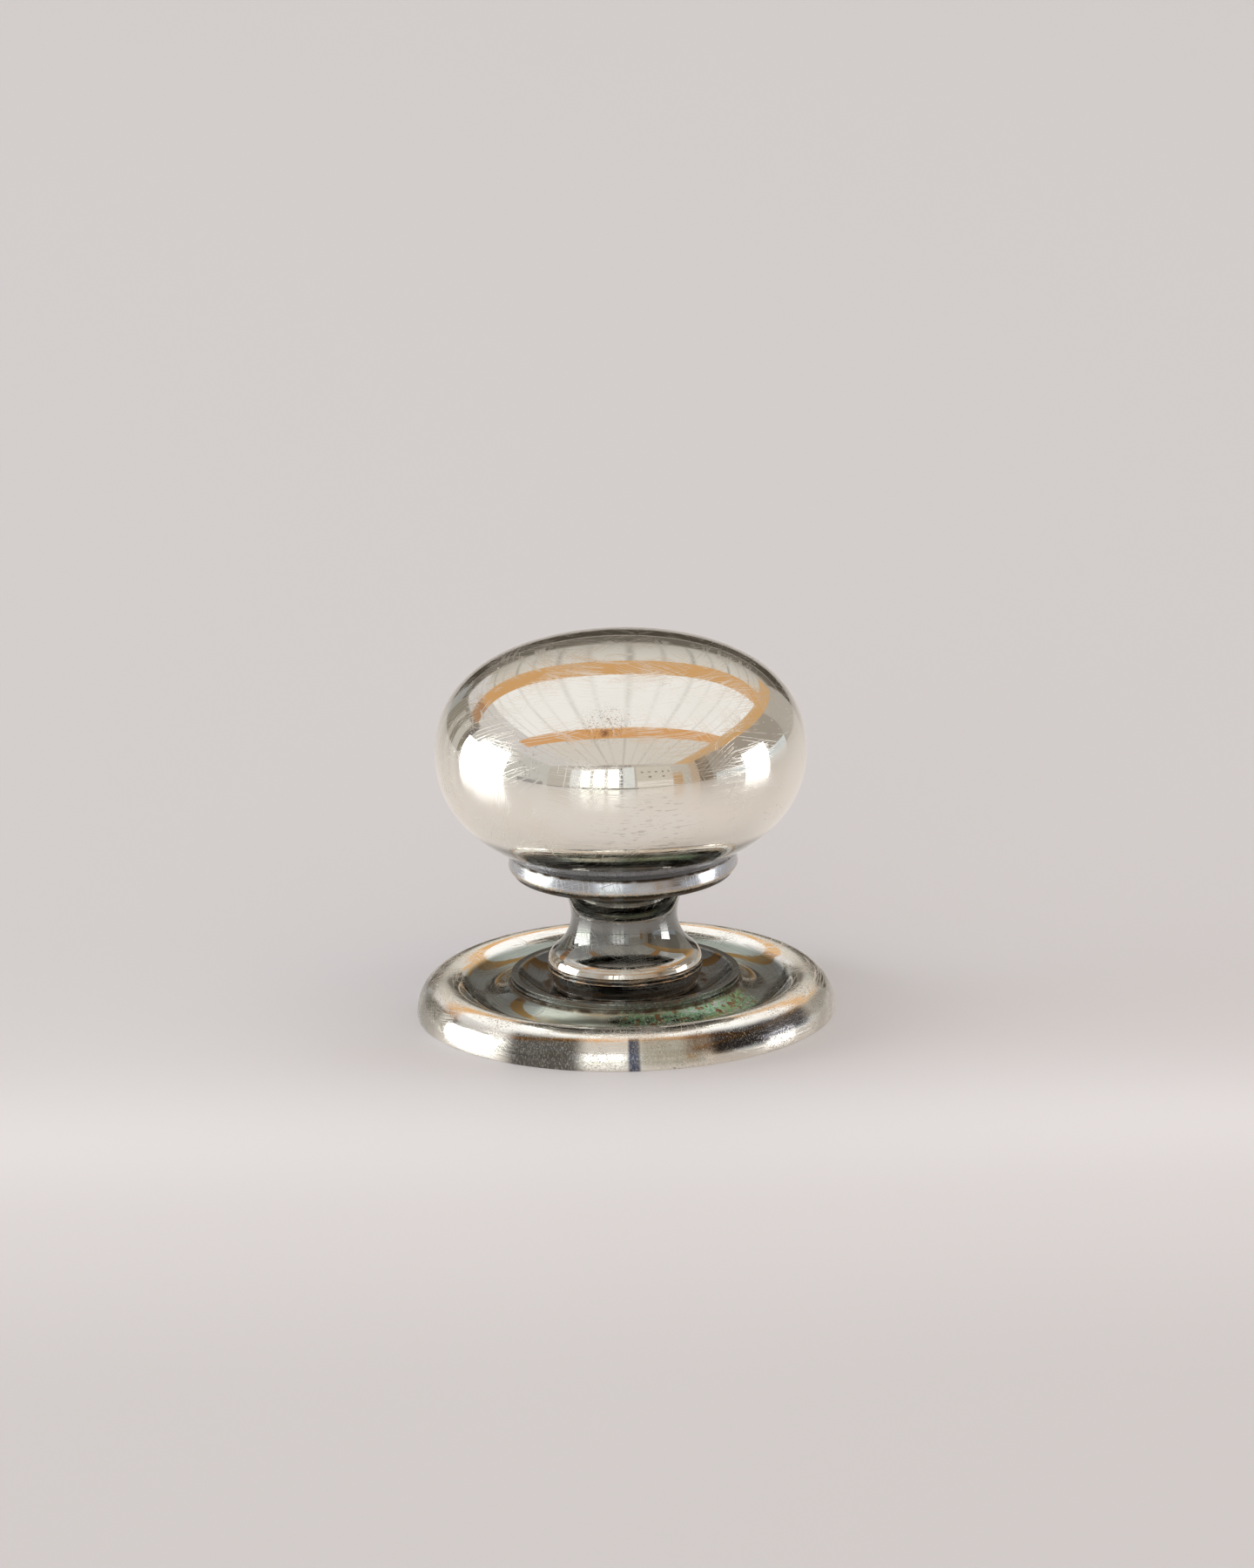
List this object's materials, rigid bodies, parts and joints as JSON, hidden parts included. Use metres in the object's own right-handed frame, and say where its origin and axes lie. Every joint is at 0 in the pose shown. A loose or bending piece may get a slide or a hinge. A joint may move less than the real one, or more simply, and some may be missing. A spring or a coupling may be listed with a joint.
{
  "type": "cupboard knob",
  "caption": "Polished metal cupboard knob with a flattened round head, plain collar, waisted neck, swelled foot and a separate round stepped back plate.",
  "frame": {"origin": "centre of the back plate's flat underside", "axes": "+Z along the knob's axis, away from the door; all directions round +Z are alike"},
  "size_m": [0.0426, 0.0426, 0.039],
  "materials": {
    "nickel": "polished nickel plate, mirror bright, with fine scratches"
  },
  "bodies": {
    "root": {"knob": "nickel", "back_plate": "nickel"}
  },
  "joints": []
}
